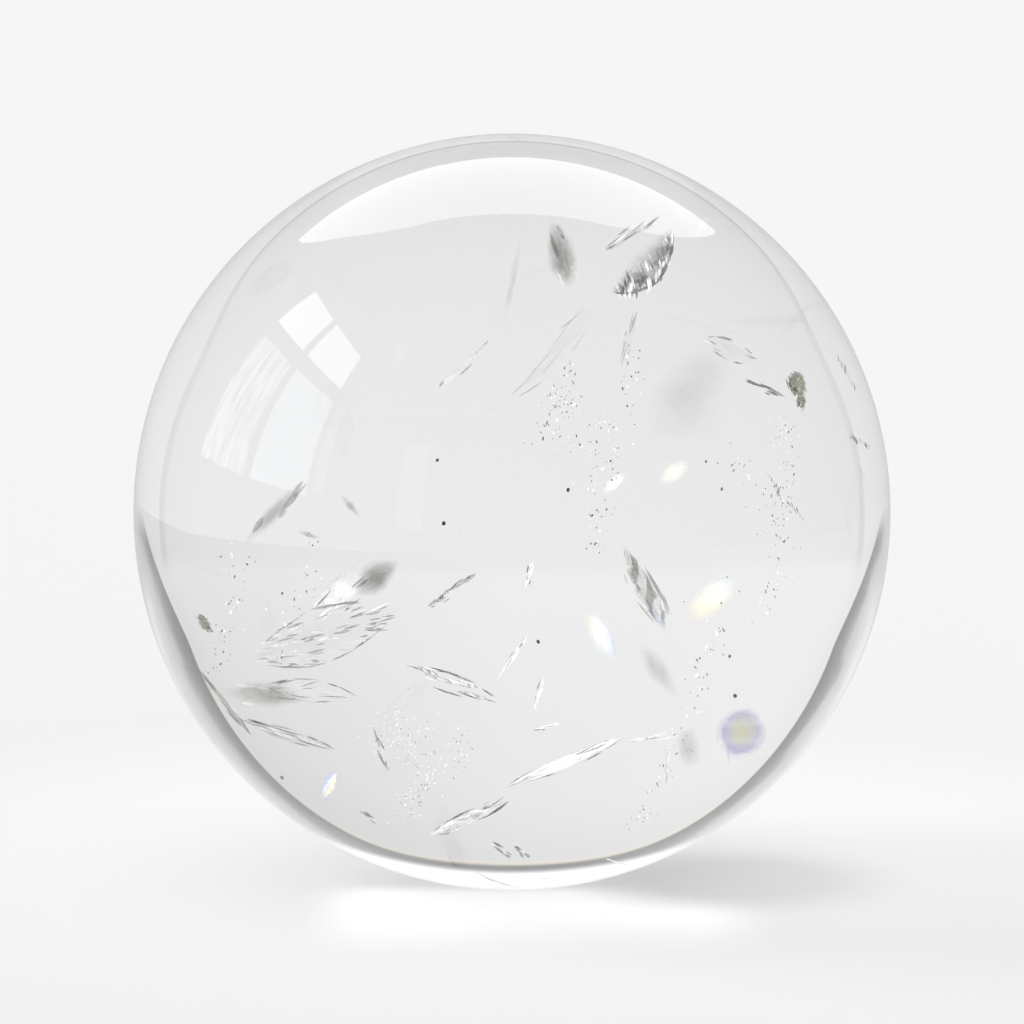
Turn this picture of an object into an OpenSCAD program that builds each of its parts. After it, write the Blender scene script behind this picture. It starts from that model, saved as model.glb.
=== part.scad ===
// Polished sphere of clear quartz with its natural inclusions.
// The host crystal is one solid, and each inclusion fills its own cavity in it.
// Origin: centre of the small ground flat that the sphere rests on. +Z is up.
// -Y is the side that faces the viewer.

/* [Sphere] */
// Diameter of the polished sphere
sphere_d = 60; // [45:1:80]
// Diameter of the flat ground on the underside, so that the sphere doesn't roll
flat_d = 8; // [6:0.5:12]

/* [Inclusions] */
// Thickness of an open fracture, the gas-filled film inside the crystal
film = 0.2; // [0.15:0.05:0.3]
// Diameter of a typical fluid droplet in a healed fracture
droplet_d = 0.4; // [0.3:0.02:0.4]
// Diameter of a typical dark mineral grain
grain_d = 0.5; // [0.4:0.05:0.6]

/* [Hidden] */
$fn = 96;

sphere_r = sphere_d / 2;
// Height of the sphere's centre above the flat
centre_z = sqrt(pow(sphere_r, 2) - pow(flat_d / 2, 2));
// Inclusion places below are for a 60 mm sphere, and this carries them to another size
grow = sphere_d / 60;

// The scatter of the droplets: with this seed they all stay clear of each other
seed = 29;

quartz = "aliceblue";
gas = "lightsteelblue";
bright = "white";
smoky = "dimgray";
iris = "gold";
fluid = "lavender";
chlorite = "darkolivegreen";
iron_ore = "black";

// ---- building blocks -----------------------------------------------------

// Carries children from the sphere's centre to a place inside it.
// turn is the tilt about X, then the lean about Y, then the heading about Z.
module inside(at, turn = [0, 0, 0]) {
    translate([0, 0, centre_z]) scale(grow) translate(at) rotate(turn) children();
}

// A leaf outline, pointed at both ends of X: what two equal circles share.
module leaf(long, wide) {
    arc_r = (pow(long, 2) + pow(wide, 2)) / (4 * wide);
    intersection() {
        translate([0, arc_r - wide / 2]) circle(r = arc_r);
        translate([0, wide / 2 - arc_r]) circle(r = arc_r);
    }
}

// An open fracture: a thin leaf-shaped film about the XY plane.
module feather(long, wide, thick = film) {
    linear_extrude(thick, center = true) leaf(long, wide);
}

// A dished fracture: the same leaf, cut from a large thin-walled tube that runs along Y.
module dished_feather(long, wide, bow, thick = film) {
    intersection() {
        translate([0, 0, -bow]) rotate([90, 0, 0]) difference() {
            cylinder(r = bow + thick / 2, h = 2 * wide, center = true);
            cylinder(r = bow - thick / 2, h = 3 * wide, center = true);
        }
        translate([0, 0, -long / 4]) linear_extrude(long / 2) leaf(long, wide);
    }
}

// A round fracture, as thin as the others.
module coin(d, thick = film) {
    cylinder(d = d, h = thick, center = true);
}

// Droplets strung from one place to another, each a little off the line and of its own size.
module droplet_trail(from, to, count, stray, pick, d = droplet_d) {
    shift = rands(-stray, stray, 3 * count, seed + pick);
    swell = rands(0.7, 1.3, count, seed + pick + 100);
    for (i = [0 : count - 1])
        translate(from + (to - from) * i / (count - 1)
                  + [shift[3 * i], shift[3 * i + 1], shift[3 * i + 2]])
            sphere(d = d * swell[i], $fn = 24);
}

// A flat six-sided mineral flake.
module flake(across, thick) {
    cylinder(d = across, h = thick, center = true, $fn = 6);
}

// A stubby six-sided mineral grain.
module grain(at, turn = [0, 0, 0], d = grain_d) {
    inside(at, turn) cylinder(d = d, h = d * 1.2, center = true, $fn = 6);
}

// ---- host crystal --------------------------------------------------------

module ball() {
    intersection() {
        translate([0, 0, centre_z]) sphere(r = sphere_r);
        translate([-sphere_d, -sphere_d, 0]) cube(2 * sphere_d);
    }
}

module quartz_body() {
    color(quartz) difference() {
        ball();
        crown_feather();
        crown_shelf();
        crown_splinter();
        crown_wisp();
        crown_ray();
        north_wisp();
        upper_sliver();
        east_feather();
        east_dart();
        east_lashes();
        ghost_veil();
        ghost_band();
        midday_flash();
        noon_flash();
        west_veil();
        west_chips();
        west_lens();
        west_flash();
        west_smoke();
        fan_upper();
        fan_middle();
        fan_lower();
        west_rim();
        centre_dart();
        centre_feather();
        centre_slivers();
        prism_leaf();
        prism_flash();
        prism_tail();
        sun_flash();
        rainbow_disc();
        rainbow_wing();
        rainbow_chip();
        long_blade();
        long_tail();
        short_blade();
        base_darts();
        south_dart();
        plumb_sliver();
        sole_slivers();
        crown_droplets();
        axis_droplets();
        east_droplets();
        west_droplets();
        plumb_droplets();
        snow_cloud();
        green_flakes();
        dark_grains();
    }
}

// ---- fractures in the upper half -----------------------------------------

module crown_feather() {
    color(gas) inside([7, -0.5, 14], [-130, -10, 70]) dished_feather(8.5, 3, 14);
}

module crown_shelf() {
    color(gas) inside([6, 5, 13.5], [15, -15, 45]) feather(3.5, 1.2);
}

module crown_splinter() {
    color(smoky) inside([2, 14.5, 8.5], [-140, 10, -75]) feather(5, 1.2);
}

module crown_wisp() {
    color(gas) inside([6.5, -2.5, 10], [-155, 55, -115]) feather(3.5, 1);
}

module crown_ray() {
    color(gas) inside([2, 5.5, 7], [-70, 15, -115]) feather(10, 1.5);
}

module north_wisp() {
    color(gas) inside([0, 22, 5], [-75, 65, -125]) feather(2.5, 0.6);
}

module upper_sliver() {
    color(bright) inside([-3, -9.5, 10], [155, 40, -165]) feather(4, 0.8);
}

module east_feather() {
    color(gas) inside([12, -0.5, 9], [45, 25, 20]) feather(3.5, 1.6);
}

module east_dart() {
    color(smoky) inside([14, -1, 7], [45, 25, 30]) feather(2.4, 0.8);
}

module east_lashes() {
    color(smoky) {
        inside([15, -4, 2], [50, 60, 25]) feather(2, 0.5);
        inside([16, -3, 0.5], [40, 45, 35]) feather(1.6, 0.5);
        inside([18, 4.5, 7], [45, 65, 35]) feather(2.4, 0.6);
        inside([19, 3, 3.5], [50, 20, 30]) feather(2, 0.5);
    }
}

module ghost_veil() {
    color(gas) inside([6, 21, 1.5], [110, -45, -40]) feather(5.5, 2.4);
}

module ghost_band() {
    color(gas) inside([9.5, 18.5, 5], [0, -35, 90]) feather(4, 0.8);
}

module midday_flash() {
    color(bright) inside([5, 3.5, 1], [30, -40, 15]) feather(1.6, 1);
}

module noon_flash() {
    color(bright) inside([7.5, 7, 1], [25, -35, 20]) feather(1.8, 1);
}

// ---- fractures on the left -----------------------------------------------

module west_veil() {
    color(smoky) inside([-9, 16, -2], [-80, 30, -135]) feather(4.5, 1);
}

module west_chips() {
    color(smoky) {
        inside([-6, 18, -2], [20, 50, -15]) feather(1.2, 0.7);
        inside([-7.5, 17.5, -3], [30, 20, 10]) feather(1, 0.5);
    }
}

module west_lens() {
    color(gas) inside([-9.5, 3, -6.5], [-90, -15, 30]) dished_feather(10, 3, 30);
}

module west_flash() {
    color(bright) inside([-8, 5.5, -4.5], [55, -40, -20]) feather(2.4, 1.6);
}

module west_smoke() {
    color(smoky) inside([-6, 9, -4], [40, -35, -10]) feather(2.6, 1.8);
}

module fan_upper() {
    color(gas) inside([-11, -2.5, -9.5], [45, 5, -30]) feather(5.5, 2);
}

module fan_middle() {
    color(smoky) inside([-10.5, 9, -9], [45, 10, -75]) feather(7, 1.4);
}

module fan_lower() {
    color(smoky) inside([-12, -0.5, -12], [30, 15, -35]) feather(6, 1.6);
}

module west_rim() {
    color(smoky) inside([-17, -3, -11], [35, 50, -20]) feather(5, 1.4);
}

// ---- fractures in the middle and on the right ----------------------------

module centre_dart() {
    color(smoky) inside([-3.5, -9, -3.5], [45, -35, -10]) feather(3.6, 1.2);
}

module centre_feather() {
    color(smoky) inside([-3.5, -8, -9], [35, 20, -5]) feather(6, 2.2);
}

module centre_slivers() {
    color(bright) {
        inside([1, -9, -2.5], [140, 75, -175]) feather(1.8, 0.9);
        inside([0, -6, -7.5], [120, 55, 165]) feather(3.4, 0.6);
        inside([1.5, -5.5, -9.5], [95, 70, 140]) feather(2.2, 0.6);
        inside([2, -7, -11.5], [40, -15, 20]) feather(2, 0.4);
    }
}

module prism_leaf() {
    color(smoky) inside([6, 8, -4.5], [-10, 45, -55]) feather(5.4, 2);
}

module prism_flash() {
    color(iris) inside([4, 7.5, -6.5], [-95, 30, -60]) feather(4.2, 1.5);
}

module prism_tail() {
    color(smoky) inside([6, 12, -8], [60, 55, 20]) feather(2.4, 1);
}

module sun_flash() {
    color(iris) inside([8.5, 10.5, -5], [30, -45, 20]) feather(3, 1.9);
}

module rainbow_disc() {
    color(iris) inside([9.5, 10, -10.5], [55, -30, 30]) coin(2);
}

module rainbow_wing() {
    color(smoky) inside([8, 6.5, -11.5], [105, 20, 80]) feather(3.4, 1.1);
}

module rainbow_chip() {
    color(iris) inside([-7.5, 10, -12.5], [115, -20, -85]) feather(1.8, 1);
}

// ---- fractures near the base ---------------------------------------------

module long_blade() {
    color(bright) inside([3, -5, -13.5], [45, -25, 20]) feather(7.5, 1.3);
}

module long_tail() {
    color(bright) inside([7.5, -2, -12], [50, -5, 15]) feather(3, 0.7);
}

module short_blade() {
    color(bright) inside([-2.5, -4, -17], [85, -20, -35]) feather(6, 1.2);
}

module base_darts() {
    color(smoky) {
        inside([-0.5, -1, -18.5], [90, 30, 45]) feather(1.8, 0.8);
        inside([0.5, 1, -18], [80, 25, 50]) feather(1.5, 0.9);
        inside([-8, -2, -17], [65, 35, 15]) feather(1.4, 0.6);
    }
}

module south_dart() {
    color(smoky) inside([-7.5, -5.5, -13], [105, 60, 55]) feather(3, 0.8);
}

module plumb_sliver() {
    color(bright) inside([8.5, -2.5, -13.5], [60, 60, 105]) feather(2.8, 0.6);
}

module sole_slivers() {
    color(bright) {
        inside([-1, -0.5, -21.5], [30, 20, 45]) feather(2.4, 0.7);
        inside([3, -1, -21.5], [40, -10, 20]) feather(2.6, 0.6);
        inside([6, 0, -20], [45, 10, 60]) feather(2, 0.6);
    }
}

// ---- healed fractures: droplets of trapped fluid ---------------------------

module crown_droplets() {
    color(fluid) inside([0, 0, 0]) {
        droplet_trail([2, -6, 8], [4, 1, 3.5], 14, 0.7, 1, droplet_d * 0.8);
        droplet_trail([3.5, -4, 8.5], [1, 0, 4], 10, 0.6, 2, droplet_d * 0.7);
    }
}

module axis_droplets() {
    color(fluid) inside([0, 0, 0]) {
        droplet_trail([5.5, -3, 5.5], [4, 0.5, -2], 16, 0.5, 3, droplet_d * 0.8);
        droplet_trail([6.5, 1, 8], [5.5, 2, 5.5], 6, 0.4, 4, droplet_d * 0.7);
    }
}

module east_droplets() {
    color(fluid) inside([0, 0, 0]) {
        droplet_trail([16, -3, 5.5], [13.5, 0, -5], 18, 0.5, 5, droplet_d * 0.8);
        droplet_trail([12, -2, 3], [13.5, 1, 0], 6, 0.4, 6, droplet_d * 0.7);
    }
}

module west_droplets() {
    color(fluid) inside([0, 0, 0]) {
        droplet_trail([-13, 5, -3], [-15.5, 2, -8.5], 12, 0.5, 7, droplet_d * 0.7);
        droplet_trail([-10, 0, -2], [-13.5, -4.5, -8], 8, 0.5, 8, droplet_d * 0.6);
    }
}

module plumb_droplets() {
    color(fluid) inside([0, 0, 0]) {
        droplet_trail([10, 3, -6.5], [7, -3, -18], 18, 0.4, 9, droplet_d * 0.7);
        droplet_trail([10.5, 1, -4], [9.5, 0, -9], 8, 0.5, 10, droplet_d * 0.8);
    }
}

module snow_cloud() {
    color(fluid) inside([0, 0, 0]) {
        droplet_trail([-6.5, -1, -11], [-5, -7, -13.5], 14, 1.1, 11, droplet_d * 0.8);
        droplet_trail([-3, -1, -12], [-5.5, 1.5, -15.5], 14, 1, 12, droplet_d * 0.8);
    }
}

// ---- mineral inclusions ------------------------------------------------------

module green_flakes() {
    color(chlorite) {
        inside([15, 2.5, 6.5], [40, 50, 20]) flake(1.6, 0.3);
        inside([15.5, 1.5, 5.8], [75, 20, 60]) flake(0.9, 0.25);
        inside([-14.5, 6, -6], [60, 30, 10]) flake(1, 0.25);
    }
}

module dark_grains() {
    color(iron_ore) {
        grain([-15.5, -16.5, -3.5], [20, 30, 0]);
        grain([-4.5, -11, 4.5], [60, 10, 30]);
        grain([-4, -9.5, 0.5], [10, 50, 0]);
        grain([1.5, -8, -6.5], [40, 0, 20]);
        grain([11, -5, 3.5], [0, 35, 15]);
        grain([12, -5.5, 2], [70, 0, 45]);
        grain([10.5, 4, -7.5], [30, 30, 0]);
        grain([11, 3, -9.5], [15, 0, 60]);
        grain([3, -2.5, 1.5], [80, 20, 0]);
        grain([-13, -1, -15], [25, 65, 0]);
    }
}

quartz_body();
crown_feather();
crown_shelf();
crown_splinter();
crown_wisp();
crown_ray();
north_wisp();
upper_sliver();
east_feather();
east_dart();
east_lashes();
ghost_veil();
ghost_band();
midday_flash();
noon_flash();
west_veil();
west_chips();
west_lens();
west_flash();
west_smoke();
fan_upper();
fan_middle();
fan_lower();
west_rim();
centre_dart();
centre_feather();
centre_slivers();
prism_leaf();
prism_flash();
prism_tail();
sun_flash();
rainbow_disc();
rainbow_wing();
rainbow_chip();
long_blade();
long_tail();
short_blade();
base_darts();
south_dart();
plumb_sliver();
sole_slivers();
crown_droplets();
axis_droplets();
east_droplets();
west_droplets();
plumb_droplets();
snow_cloud();
green_flakes();
dark_grains();
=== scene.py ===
# %% [markdown]
# # A polished ball of clear quartz
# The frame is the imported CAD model: the host crystal and, sealed inside it, its fractures,
# trails of droplets and mineral specks. It fixes every place and size. Here each of them gets
# the shape and finish that the eye sees.

# %% Load the frame
import math

import bmesh
import bpy
import numpy as np
from mathutils import Matrix, Vector


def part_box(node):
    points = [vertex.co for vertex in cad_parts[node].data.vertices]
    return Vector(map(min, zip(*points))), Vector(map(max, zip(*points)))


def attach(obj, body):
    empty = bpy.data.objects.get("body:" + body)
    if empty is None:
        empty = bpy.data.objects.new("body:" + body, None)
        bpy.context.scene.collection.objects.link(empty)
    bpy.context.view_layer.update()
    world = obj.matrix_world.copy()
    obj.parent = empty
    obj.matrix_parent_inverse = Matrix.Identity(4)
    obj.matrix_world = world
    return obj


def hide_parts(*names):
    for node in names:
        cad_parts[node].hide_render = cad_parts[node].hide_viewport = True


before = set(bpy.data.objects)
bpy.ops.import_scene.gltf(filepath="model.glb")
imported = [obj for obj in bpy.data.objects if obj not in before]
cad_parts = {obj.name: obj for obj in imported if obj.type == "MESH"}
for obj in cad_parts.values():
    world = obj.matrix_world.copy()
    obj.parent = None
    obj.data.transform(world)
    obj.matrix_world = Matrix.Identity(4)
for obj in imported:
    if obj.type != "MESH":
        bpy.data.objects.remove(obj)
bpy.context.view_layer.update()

MM = 0.001
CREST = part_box("quartz_body")[1].z
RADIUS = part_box("quartz_body")[1].x
CENTRE = Vector((0, 0, CREST - RADIUS))
print("ball radius", round(RADIUS / MM, 2), "mm, centre height", round(CENTRE.z / MM, 2), "mm")

# %% [markdown]
# ## Camera
# A clear ball is seen almost level, from a little above. A long lens keeps its outline a true
# circle and shows the background through it upside down, as a real ball does.

# %% Camera
VIEW_DOWN = math.radians(7)
VIEW_AWAY = 0.4
LENS = 176.9

sight = Vector((0, math.cos(VIEW_DOWN), -math.sin(VIEW_DOWN)))
camera = bpy.data.objects.new("camera", bpy.data.cameras.new("camera"))
bpy.context.scene.collection.objects.link(camera)
camera.location = CENTRE - sight * VIEW_AWAY
camera.rotation_euler = sight.to_track_quat("-Z", "Y").to_euler()
camera.data.lens = LENS
camera.data.clip_start, camera.data.clip_end = 0.01, 20
bpy.context.scene.camera = camera
print("camera", round(VIEW_AWAY, 2), "m away")

# %% [markdown]
# ## The finishing helpers
# Most finishes are a few shader nodes in a row. They could be linked by hand in the node editor,
# but a small helper that adds one node and sets its sockets keeps each finish short to read.
# Three more helpers wrap the nodes that come back most: a sum, a colour ramp and a blend.

# %% Material helpers
def new_material(name):
    made = bpy.data.materials.new(name)
    made.use_nodes = True
    made.node_tree.nodes.clear()
    return made, made.node_tree


def add(tree, kind, settings=None, **inputs):
    node = tree.nodes.new(kind)
    for key, value in (settings or {}).items():
        setattr(node, key, value)
    for key, value in inputs.items():
        socket = node.inputs[key.replace("_", " ")]
        if isinstance(value, bpy.types.NodeSocket):
            tree.links.new(value, socket)
        else:
            socket.default_value = value
    return node


# %% Helpers for sums, ramps and blends
def maths(tree, operation, *values):
    """A Math node: each value is a number or another node's output."""
    node = add(tree, "ShaderNodeMath", {"operation": operation})
    for socket, value in zip(node.inputs, values):
        if isinstance(value, bpy.types.NodeSocket):
            tree.links.new(value, socket)
        else:
            socket.default_value = value
    return node.outputs[0]


def ramp(tree, factor, stops):
    """A Color Ramp with (place, colour) stops; a colour may be one grey number."""
    node = add(tree, "ShaderNodeValToRGB", Fac=factor)
    bar = node.color_ramp
    while len(bar.elements) < len(stops):
        bar.elements.new(0.5)
    for element, (place, colour) in zip(bar.elements, stops):
        element.position = place
        rgb = (colour,) * 3 if isinstance(colour, (int, float)) else tuple(colour)
        element.color = (*rgb, 1)
    return node.outputs["Color"]


def blend_colours(tree, factor, first, second, kind="MIX"):
    node = add(tree, "ShaderNodeMix", {"data_type": "RGBA", "blend_type": kind})
    for index, value in ((0, factor), (6, first), (7, second)):
        if isinstance(value, bpy.types.NodeSocket):
            tree.links.new(value, node.inputs[index])
        else:
            node.inputs[index].default_value = value
    return node.outputs[2]


def smooth_step(tree, value, begins, full):
    """0 where value is at begins and 1 where it is at full, with a soft change between."""
    node = add(tree, "ShaderNodeMapRange", {"interpolation_type": "SMOOTHSTEP"}, Value=value,
               From_Min=begins, From_Max=full)
    return node.outputs[0]


# %% Helpers for whole finishes
def mix_shaders(tree, factor, first, second):
    node = add(tree, "ShaderNodeMixShader", Fac=factor)
    tree.links.new(first.outputs[0], node.inputs[1])
    tree.links.new(second.outputs[0], node.inputs[2])
    return node


def grey(value):
    return value, value, value, 1


def finish_surface(tree, shader, volume=None):
    out = add(tree, "ShaderNodeOutputMaterial", Surface=shader)
    if volume is not None:
        tree.links.new(volume, out.inputs["Volume"])


def new_piece(name, mesh, material):
    piece = bpy.data.objects.new(name, mesh)
    bpy.context.scene.collection.objects.link(piece)
    mesh.materials.clear()
    mesh.materials.append(material)
    return piece


print("helpers ready")

# %% [markdown]
# ## Paper floor
# The ball stands on pale paper, and the sky over it is the same pale tone, so the view has no
# visible horizon. The paper is two flat sheets. The near one is what shows through the ball, and
# it ends where the arch of the room pattern takes over. The far one, just under it, only fills
# the view behind. Neither shows in the polish, where the room pattern has a table of its own.
# Seen through the ball the paper is a little darker, which is a choice of look: the crystal
# would otherwise have no tone of its own against so pale a ground.

# %% Floor
FLOOR_GAP = 0.05 * MM
FLOOR_REACH = 6.0
NEAR_REACH = 0.52
PAPER_GREY = 0.9
PAPER_GREY_THROUGH = 0.835

paper, tree = new_material("paper")
through_ball = add(tree, "ShaderNodeLightPath").outputs["Is Transmission Ray"]
paper_grey = add(tree, "ShaderNodeMapRange", Value=through_ball, To_Min=PAPER_GREY,
                 To_Max=PAPER_GREY_THROUGH).outputs[0]
paper_shader = add(tree, "ShaderNodeBsdfDiffuse", Color=paper_grey, Roughness=0.3)
finish_surface(tree, paper_shader.outputs[0])


def flat_sheet(name, outline, height, material):
    """One flat polygon that faces up."""
    mesh = bpy.data.meshes.new(name)
    corners = [(x, y, height) for x, y in outline]
    mesh.from_pydata(corners, [], [tuple(range(len(corners)))])
    sheet = new_piece(name, mesh, material)
    return sheet


def square(half):
    return (-half, -half), (half, -half), (half, half), (-half, half)


near_floor = flat_sheet("near_floor", square(NEAR_REACH), -FLOOR_GAP, paper)
near_floor.visible_glossy = False
far_floor = flat_sheet("far_floor", square(FLOOR_REACH), -2 * FLOOR_GAP, paper)
far_floor.visible_glossy = far_floor.visible_transmission = False
print("floor", 2 * FLOOR_REACH, "m square")

# %% [markdown]
# ## The room
# What a clear ball looks like is mostly what stands round it. A whole room could be modelled, but
# a pattern of direction in the world shader is quicker to tune, because each degree of it lands
# in one known place in the ball. There are two patterns. Rays that passed through the crystal
# see pale paper that ends in an arch, with a darker room past it that draws the grey line near
# the rim. Rays that the polish mirrored see a pale table, a backdrop and a grey wall round it.
# The floor and the camera see the plain pale sky.

# %% World and directions
SKY = 0.94
world = bpy.data.worlds.new("room")
bpy.context.scene.world = world
world.use_nodes = True
sky = world.node_tree
sky.nodes.clear()

direction = add(sky, "ShaderNodeTexCoord").outputs["Generated"]
across, away, up = add(sky, "ShaderNodeSeparateXYZ", Vector=direction).outputs
rise = maths(sky, "ARCSINE", up)
turn = maths(sky, "ABSOLUTE", maths(sky, "ARCTAN2", across, away))
print("world directions ready")

# %% [markdown]
# ### The arch, seen through the ball
# The arch is a superellipse in turn and rise, wider at its foot. Its number is 1/8 on the edge of
# the paper, so one colour ramp holds the paper, the warm fringe, the dark line and the paler
# room beyond. A soft noise makes the dark part uneven, as furniture would.

# %% Arch
THROUGH_WHITE = 0.86
THROUGH_EDGE = 0.79
FRINGE = (0.92, 0.84, 0.72)
ARCH_HALF = math.radians(54)
ARCH_TOP = math.radians(52.5)
ARCH_SIDE_POWER = 5
ARCH_TOP_POWER = 2
FOOT_START = math.radians(-3)
FOOT_TOP = math.radians(15)
FOOT_WIDER = 1.38
FOOT_POWER = 1.5
EDGE_PLACE = 1 / 8
DARK_START = 0.13

foot = add(sky, "ShaderNodeMapRange", Value=rise, From_Min=FOOT_START, From_Max=FOOT_TOP,
           To_Min=1, To_Max=0)
foot = maths(sky, "POWER", foot.outputs[0], FOOT_POWER)
arch_turn = maths(sky, "DIVIDE", turn, maths(sky, "MULTIPLY_ADD", foot, FOOT_WIDER - 1, 1))
side_part = maths(sky, "POWER", maths(sky, "DIVIDE", arch_turn, ARCH_HALF), ARCH_SIDE_POWER)
top_part = maths(sky, "POWER", maths(sky, "DIVIDE", rise, ARCH_TOP), ARCH_TOP_POWER)
beyond = maths(sky, "MULTIPLY", maths(sky, "ADD", side_part, top_part), EDGE_PLACE)
print("arch", round(math.degrees(ARCH_HALF) * 2), "degrees wide")

# %% What shows past the arch
ROOM_SHAPES = 2.0
ROOM_SHAPE_SCALE = 7

shapes = add(sky, "ShaderNodeTexNoise", Vector=direction, Scale=ROOM_SHAPE_SCALE, Detail=2)
ripple = maths(sky, "MULTIPLY", maths(sky, "SUBTRACT", shapes.outputs["Fac"], 0.5), ROOM_SHAPES)
deep = maths(sky, "MAXIMUM", maths(sky, "SUBTRACT", beyond, DARK_START), 0)
beyond = maths(sky, "MULTIPLY_ADD", deep, ripple, beyond)
ROOM_TONES = (
    (0, THROUGH_WHITE), (0.04, THROUGH_WHITE), (0.115, THROUGH_EDGE), (0.123, FRINGE),
    (DARK_START, 0.1), (0.19, 0.17), (0.27, 0.46), (0.5, 0.6), (0.85, THROUGH_WHITE),
)
through = ramp(sky, beyond, ROOM_TONES)
print("room tones", len(ROOM_TONES))

# %% [markdown]
# ### Shading of the paper arch
# The paper isn't lit evenly. Near the table it is plain, away from the window it dims, and it
# dims more the higher it stands. Right overhead a bright ceiling shows as a white line along the
# ball's lower rim.

# %% Shading
FOOT_FADE = math.radians(2)
RIGHT_END, RIGHT_DIM = 0.9, 0.88
HIGH_DIM, HIGH_DIM_ACROSS = 0.12, 0.24
CEILING_START = math.radians(55)
CEILING_END = math.radians(61)
CEILING_GLOW = 1.6

past_table = smooth_step(sky, rise, FOOT_START, FOOT_FADE)
through = blend_colours(sky, past_table, grey(THROUGH_WHITE), through)
dimmer = add(sky, "ShaderNodeMapRange", Value=across, From_Min=0, From_Max=RIGHT_END, To_Min=1,
             To_Max=RIGHT_DIM)
through = blend_colours(sky, 1.0, through, dimmer.outputs[0], "MULTIPLY")
high_dim = maths(sky, "MULTIPLY_ADD", across, HIGH_DIM_ACROSS, HIGH_DIM)
high_dim = maths(sky, "MULTIPLY", maths(sky, "MAXIMUM", up, 0), high_dim)
through = blend_colours(sky, 1.0, through, maths(sky, "SUBTRACT", 1, high_dim), "MULTIPLY")
ceiling = smooth_step(sky, rise, CEILING_START, CEILING_END)
through = blend_colours(sky, ceiling, through, grey(CEILING_GLOW))
print("shading done")

# %% [markdown]
# ### The backdrop, seen in the polish
# A rounded rectangle stands for the pale backdrop, with a thin dark gap round it and a grey wall
# past that. Below it lies the pale table. The faint line that crosses the ball at mid height is
# where the mirrored table meets the backdrop.

# %% Backdrop
BACKDROP_HALF = math.radians(48)
BACKDROP_TOP = math.radians(20.5)
BACKDROP_POWER = 6
TABLE_END = math.radians(-13)
TABLE_GONE = math.radians(-9)
TABLE_GREY = 0.88
BACKDROP_TONES = ((0, 0.6), (0.478, 0.64), (0.492, 0), (0.52, 0.02), (0.54, 0.38), (1, 0.38))

wide_part = maths(sky, "POWER", maths(sky, "DIVIDE", turn, BACKDROP_HALF), BACKDROP_POWER)
height_part = maths(sky, "MAXIMUM", maths(sky, "DIVIDE", rise, BACKDROP_TOP), 0)
tall_part = maths(sky, "POWER", height_part, BACKDROP_POWER)
edge = maths(sky, "POWER", maths(sky, "ADD", wide_part, tall_part), 1 / BACKDROP_POWER)
mirrored = ramp(sky, maths(sky, "DIVIDE", edge, 2), BACKDROP_TONES)
past_table = smooth_step(sky, rise, TABLE_END, TABLE_GONE)
mirrored = blend_colours(sky, past_table, grey(TABLE_GREY), mirrored)
print("backdrop tones", len(BACKDROP_TONES))

# %% World output
CAMERA_SKY = 0.88

ray = add(sky, "ShaderNodeLightPath")
seen = blend_colours(sky, ray.outputs["Is Glossy Ray"], grey(SKY), mirrored)
seen = blend_colours(sky, ray.outputs["Is Transmission Ray"], seen, through)
lighting = maths(sky, "MINIMUM", ray.outputs["Diffuse Depth"], 1)
seen = blend_colours(sky, lighting, seen, grey(SKY))
seen = blend_colours(sky, ray.outputs["Is Camera Ray"], seen, grey(CAMERA_SKY))
background = add(sky, "ShaderNodeBackground", Color=seen, Strength=1)
add(sky, "ShaderNodeOutputWorld", Surface=background.outputs[0])
print("world nodes", len(sky.nodes))

# %% [markdown]
# ## The window
# A four-pane window on the left shows in the polish, high on the ball. An area lamp would mirror
# as one plain square, so each pane is a lit sheet of its own, with streaks of the branches
# outside. The sheets show in the polish only, and light nothing.

# %% Window sizes
WINDOW_X = -1.0
WINDOW_Y = (-0.49, 0.36)
WINDOW_Z = (0.17, 1.12)
TRANSOM = 0.76
BAR_Y = -0.05
BAR = 0.06
TRANSOM_BAR = 0.1
PANES = (
    # name, near or far half, low or high half, brightness, tint, how much the trees outside show
    ("low_near", 0, 0, 2.2, (0.84, 0.92, 1), 0.1),
    ("low_far", 1, 0, 2.2, (0.93, 0.96, 1), 0.75),
    ("high_near", 0, 1, 3.4, (0.97, 0.98, 1), 0.1),
    ("high_far", 1, 1, 3.4, (0.97, 0.98, 1), 0.1),
)
SIDE_WINDOWS = (
    # name, start and end (x, y), foot and head, brightness, tint, trees
    ("far_window", (-0.56, -0.83), (-0.44, -0.90), (0.05, 0.5), 0.9, (1, 1, 1), 0.2),
    ("window_reveal", (-0.99, -0.62), (-0.99, -0.53), (0.2, 0.8), 0.9, (1, 1, 1), 0.2),
)
print("window", WINDOW_Y[1] - WINDOW_Y[0], "m wide")

# %% Window panes
BRANCH_LEAN = 0.5
BRANCH_STRETCH = (1, 26, 5)
BRANCH_DARK, BRANCH_LIGHT = 0.35, 0.62


def mirrored_only(thing):
    """Lets a stage thing show in polish, and neither light anything nor show elsewhere."""
    for rays in ("camera", "diffuse", "transmission", "shadow"):
        setattr(thing, "visible_" + rays, False)


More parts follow.
